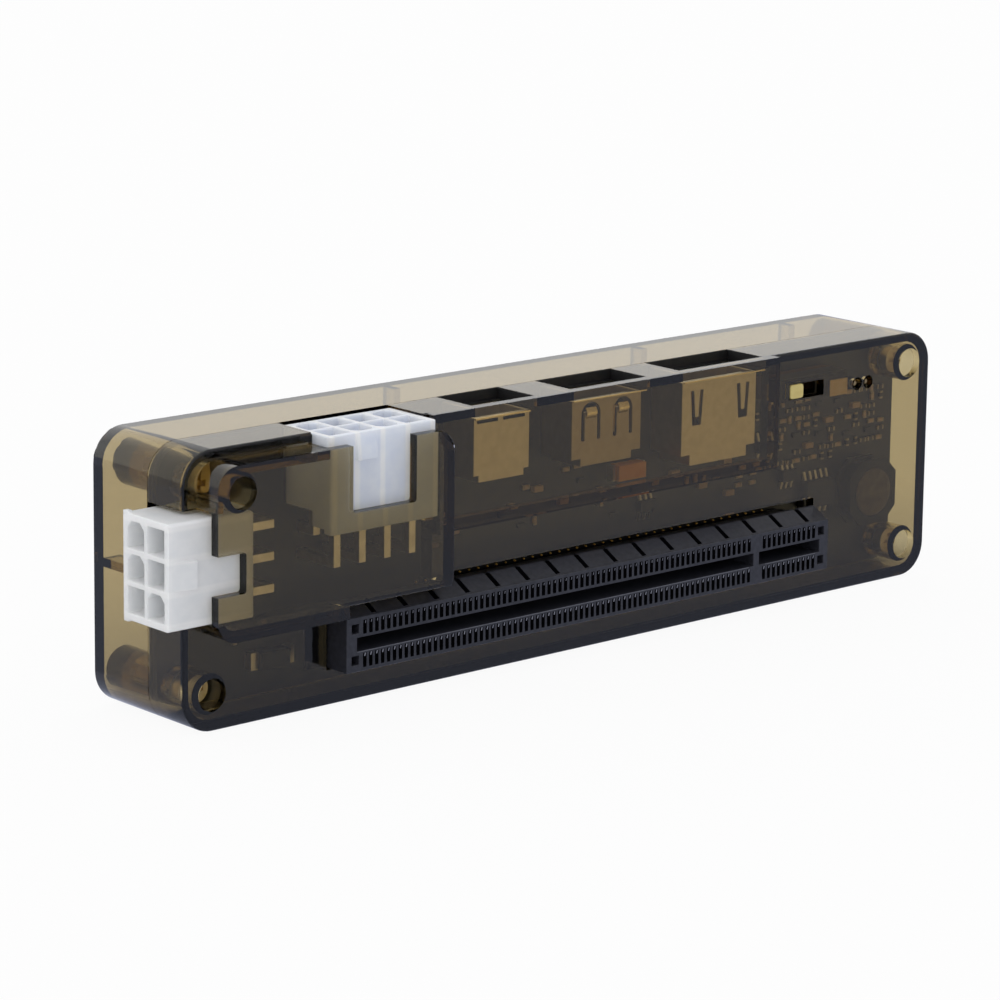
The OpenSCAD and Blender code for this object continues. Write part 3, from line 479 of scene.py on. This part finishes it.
def add_small_parts():
    """Tan and dark parts with dull metal ends"""
    bodies, dark_bodies, ends = Piece(), Piece(), Piece()
    draw = random.Random(7)
    for row in range(PATCH_ROWS):
        for column in range(PATCH_COLUMNS):
            x = PATCH_LEFT + column * COLUMN_PITCH + draw.uniform(-COLUMN_DRIFT, COLUMN_DRIFT)
            z = PATCH_LOW + row * ROW_PITCH + draw.uniform(-ROW_DRIFT, ROW_DRIFT)
            if draw.random() < EMPTY_SHARE or not has_room(x, z):
                continue
            upright = draw.random() >= LEVEL_SHARE
            body = dark_bodies if draw.random() < DARK_SHARE else bodies
            length, width = PATCH_UPRIGHT if upright else PATCH_LEVEL
            small_part(body, ends, x, z, length, width, upright)
    for spots, upright in ((UPRIGHT_SPOTS, True), (LEVEL_SPOTS, False)):
        for x, z in spots:
            small_part(bodies, ends, x, z, PART_L, PART_W, upright)
    bodies.make("small_part_bodies", "ceramic", "ceramic_tan", 0.06)
    dark_bodies.make("small_part_dark_bodies", "film", "ceramic_dark", 0.06)
    ends.make("small_part_ends", "solder", "tinned_metal", 0.06)


def add_solder_dots():
    """Solder dots on the board behind the slot's ridge"""
    dots = Piece()
    profile = [(BOARD_Y - 0.3, 0), (BOARD_Y - 0.26, 0.09), (BOARD_Y - 0.12, 0.15), (BOARD_Y, 0.18)]
    pitch, height = 1.65, 12.14
    for k in range(10, 51):
        dots.turned(FIRST_CONTACT + pitch * k, height, profile, 12)
    dots.make("slot_solder_dots", "gold", "gold_plate", smooth=True)


def add_slot_pockets():
    """Painted shade: tall flat black boxes over the slot's own recesses, and the bright contact tips in them
    """
    pockets, tips = Piece(), Piece()
    half_w = 0.27
    pocket_rows = ((9.85, 11.7), (5.4, 7.3))
    pocket_front, pocket_back = SLOT_Y - 0.012, SLOT_Y + 0.2
    # a tip's left and right from its contact's middle, its bottom and top, and its tilt
    tip_rows = ((-0.07, 0.09, 6.86, 7.28, -0.3), (0.02, 0.1, 11.25, 11.6, -0.2))
    tip_front, tip_back = SLOT_Y - 0.03, SLOT_Y + 0.1
    for k in range(CONTACT_PLACES):
        if k in KEY_PLACES:
            continue
        x = FIRST_CONTACT + k * CONTACT_PITCH
        for low, high in pocket_rows:
            pockets.box((x - half_w, pocket_front, low), (x + half_w, pocket_back, high))
        for left, right, low, high, tilt in tip_rows:
            tips.box((x + left, tip_front, low), (x + right, tip_back, high), tilt)
    pockets.make("slot_pockets", "pocket", "black_plastic")
    tips.make("slot_contact_tips", "tip", "tinned_metal")


def add_shoulder_slit_shade():
    """Painted shade: a thin black strip lying in each slit across the slot's sloped shoulder"""
    slit_shades = Piece()
    first, pitch, half_w = 28.49, 5.35, 0.39
    outline = [(-3.05, 12.31), (-0.78, 13.58), (-0.78, 13.2), (-3.05, 12.1)]
    for k in range(16):
        x = first + pitch * k
        slit_shades.strip(outline, x - half_w, x + half_w)
    slit_shades.make("slot_shoulder_slit_shade", "pocket", "black_plastic")


def add_joint_shade():
    """Painted shade of the gap between the two shells: a thin black ring in their joint"""
    seam_shade = Piece()
    front, back = 7.31, 7.39
    outer_inset, inner_inset = 0.04, 1.35
    seam_shade.case_ring(front, back, outer_inset, inner_inset)
    seam_shade.make("shell_joint_shade", "pocket", "smoke_plastic")


def add_lamp_details():
    """Painted shade at the rims of the two lamp holes, as black rings, and the lamps' domes in them, in a
    shaded copy of the lamp resin
    """
    rims, domes = Piece(), Piece()
    rim = [(-0.02, 0.76), (-0.02, 0.95), (0.06, 0.95), (0.06, 0.76), (-0.02, 0.76)]
    dome = [(0.35, 0), (0.42, 0.28), (0.62, 0.47), (1.1, 0.56), (1.4, 0.56), (1.4, 0)]
    for x in LAMP_XS:
        rims.turned(x, LAMP_Z, rim, 32)
        domes.turned(x, LAMP_Z, dome, 28)
    domes.make("lamp_domes", "shaded_lamp", "lamp_resin", smooth=True)
    rims.make("lamp_hole_rim_shade", "pocket", "smoke_plastic")


def add_switch_block():
    """Beige end block of the switch, seen right of its window"""
    block = Piece()
    block.box((116.7, 1.42, 28.9), (120.3, 1.58, 31.3))
    block.make("switch_end_block", "beige", "brown_laminate", 0.12)


def add_port_lip_highlights():
    """A strip on each port's mouth, in a brighter copy of the plating that paints its highlight"""
    lip_highlights = Piece()
    for left, right in ((65.35, 78.9), (86.1, 101.9)):
        lip_highlights.box((left, 0.05, 34.78), (right, 0.36, 34.98))
    lip_highlights.box((47.8, 0.0, 34.62), (57.5, 0.38, 34.88))
    lip_highlights.make("port_lip_highlights", "highlight_sheet", "plated_sheet", 0.05)


def add_spring_curls():
    """Curled tips of the plug port's two springs, in the brighter copy of the plating that paints their
    highlight
    """
    curls = Piece()
    port_left, port_w, half_w = 65.3, 12.8, 0.95
    foot_y, foot_z, bulge, rise, thickness, drop = 0.42, 32.2, 0.34, 1.5, 0.16, 0.04
    steps = 12
    outer = [(foot_y - bulge * math.sin(math.pi * k / steps), foot_z + rise * (k / steps))
             for k in range(steps + 1)]
    inner = [(y + thickness, z - drop) for y, z in reversed(outer)]
    for share in (0.274, 0.738):
        x = port_left + share * port_w
        curls.strip(outer + inner, x - half_w, x + half_w)
    curls.make("plug_spring_curls", "highlight_sheet", "plated_sheet", 0.04)


def add_opening_edge_highlight():
    """Painted highlight: a thin grey strip on the lower edge of the card opening, either side of the key"""
    edge = Piece()
    for left, right in ((25.3, 96.5), (99.8, 109.9)):
        edge.box((left, SLOT_Y - 0.02, 7.5), (right, SLOT_Y + 0.12, 7.6))
    edge.make("slot_opening_edge_highlight", "edge", "black_plastic")


def add_slot_end_shade():
    """The slot's end block, seen through the case left of the slot, in the flat black that paints shade, so
    that it also darkens the cutout there
    """
    block = Piece()
    block.box((20.6, 1.46, 5.0), (23.5, 2.2, 11.9))
    block.make("slot_end_shade_block", "pocket", "black_plastic", 0.1)


def add_lip_window_shade():
    """Painted shade: a flat black box in each window of the small port's flared rim"""
    window_shades = Piece()
    for left, right in ((48.3, 51.9), (52.9, 56.7)):
        window_shades.box((left, 0.3, 34.05), (right, 0.39, 34.5))
    window_shades.make("small_port_lip_window_shade", "pocket", "black_plastic", 0.04)


def add_port_shade_plates():
    """Painted shade in the openings over the ports: a dark plate behind and one right of each"""
    shade_plates = Piece()
    low, high = 34.95, 36.56
    for left, right in PORT_SPANS:
        shade_plates.box((left + 0.05, 7.22, low), (right - 0.05, 7.36, high))
        shade_plates.box((right - 0.14, 0.5, low), (right - 0.03, 7.2, high))
    shade_plates.make("port_opening_shade_plates", "film", "black_plastic")


def add_inductor_cap():
    """Round cap on the inductor, whose middle part.scad works out in the same way"""
    cap = Piece()
    slot_right, room = 112.54, 24.26
    screw_low, tube_r, clear, half_w = 4.75, 2.7, 0.5, 4.85
    x = slot_right + 0.654 * room
    z = screw_low + tube_r + clear + half_w
    cap.turned(x, z, [(3.0, 0), (3.0, 3.1), (3.12, 3.5), (3.32, 3.6)], 48)
    cap.make("inductor_cap", "cap", "ferrite")


add_small_parts()
add_solder_dots()
add_slot_pockets()
add_shoulder_slit_shade()
add_joint_shade()
add_lamp_details()
add_switch_block()
add_port_lip_highlights()
add_spring_curls()
add_opening_edge_highlight()
add_slot_end_shade()
add_lip_window_shade()
add_port_shade_plates()
add_inductor_cap()


# Stage, light and camera
def floor_look():
    """White to the camera, in gloss and through the plastic, with the object's shadow kept"""
    material, tree, shader, output = new_material("floor_white")
    shader.inputs["Base Color"].default_value = (0.8, 0.8, 0.8, 1.0)
    shader.inputs["Roughness"].default_value = 0.9
    rays = tree.nodes.new("ShaderNodeLightPath")
    shining = tree.nodes.new("ShaderNodeEmission")
    shining.inputs["Strength"].default_value = 1.0

    # away from the object's foot, seen through the plastic, the floor turns white
    geometry = tree.nodes.new("ShaderNodeNewGeometry")
    split = tree.nodes.new("ShaderNodeSeparateXYZ")
    tree.links.new(geometry.outputs["Position"], split.inputs[0])
    squares = []
    for axis, half_foot in enumerate((0.066, 0.012)):
        off_middle = calc(tree, "ABSOLUTE", split.outputs[axis])
        past = calc(tree, "MAXIMUM", calc(tree, "SUBTRACT", off_middle, half_foot), 0.0)
        squares.append(calc(tree, "MULTIPLY", past, past))
    distance = calc(tree, "SQRT", calc(tree, "ADD", *squares))
    away = calc(tree, "MINIMUM", calc(tree, "MULTIPLY", distance, 18.0), 1.0)

    # a ray that is bent through the plastic counts as glossy too, so it is taken out of the gloss
    bent = rays.outputs["Is Transmission Ray"]
    glossy = calc(tree, "MULTIPLY", rays.outputs["Is Glossy Ray"], calc(tree, "SUBTRACT", 1.0, bent))
    seen = calc(tree, "MULTIPLY", rays.outputs["Is Camera Ray"], 0.94)
    through = calc(tree, "MULTIPLY", bent, away)
    share = calc(tree, "MAXIMUM", seen, calc(tree, "MAXIMUM", glossy, through))

    # gloss sees a darker floor, so that the front isn't veiled
    colour = mix(tree, "MIX", glossy, WHITE, (0.44, 0.47, 0.6, 1.0))
    tree.links.new(colour, shining.inputs["Color"])
    mixed = tree.nodes.new("ShaderNodeMixShader")
    tree.links.new(share, mixed.inputs["Fac"])
    tree.links.new(shader.outputs[0], mixed.inputs[1])
    tree.links.new(shining.outputs[0], mixed.inputs[2])
    tree.links.new(mixed.outputs[0], output.inputs["Surface"])
    return material


def add_floor():
    half, level = 40, -0.0002
    mesh = bpy.data.meshes.new("floor")
    corners = [(-half, -half, level), (half, -half, level), (half, half, level), (-half, half, level)]
    mesh.from_pydata(corners, [], [(0, 1, 2, 3)])
    mesh.materials.append(floor_look())
    floor = bpy.data.objects.new("floor", mesh)
    bpy.context.scene.collection.objects.link(floor)


def add_studio():
    """A soft world light, dimmer from the front right"""
    world = bpy.data.worlds.new("studio")
    bpy.context.scene.world = world
    world.use_nodes = True
    tree = world.node_tree
    background = tree.nodes["Background"]
    coordinates = tree.nodes.new("ShaderNodeTexCoord")
    towards = tree.nodes.new("ShaderNodeVectorMath")
    towards.operation = "DOT_PRODUCT"
    towards.inputs[1].default_value = (0.62, -0.78, -0.1)
    tree.links.new(coordinates.outputs["Generated"], towards.inputs[0])
    colour = ramp(tree, towards.outputs["Value"], (0.0, WHITE), (0.75, (0.6, 0.61, 0.66, 1.0)))
    tree.links.new(colour, background.inputs["Color"])
    background.inputs["Strength"].default_value = 1.0


def add_camera():
    """The photograph's camera: its place, its turn in degrees and its focal length"""
    azimuth, elevation, roll = (math.radians(angle) for angle in (-41.42, 10.96, 0.70))
    focal_pixels, picture_pixels, sensor = 3819.27, 1000.0, 36.0
    forward = Vector((-math.sin(azimuth) * math.cos(elevation), math.cos(azimuth) * math.cos(elevation),
                      -math.sin(elevation)))
    level = Vector((math.cos(azimuth), math.sin(azimuth), 0))
    upright = level.cross(forward)
    right = level * math.cos(roll) + upright * math.sin(roll)
    up = -level * math.sin(roll) + upright * math.cos(roll)
    lens = bpy.data.cameras.new("camera")
    lens.sensor_width = sensor
    lens.lens = focal_pixels * sensor / picture_pixels
    lens.shift_y = -0.15
    lens.clip_start, lens.clip_end = 0.01, 100.0
    camera = bpy.data.objects.new("camera", lens)
    bpy.context.scene.collection.objects.link(camera)
    matrix = Matrix((right, up, -forward)).transposed().to_4x4()
    matrix.translation = place(-276.54, -372.82, 139.81)
    camera.matrix_world = matrix
    bpy.context.scene.camera = camera


add_floor()
add_studio()
add_camera()
bpy.context.scene.view_settings.view_transform = "Standard"
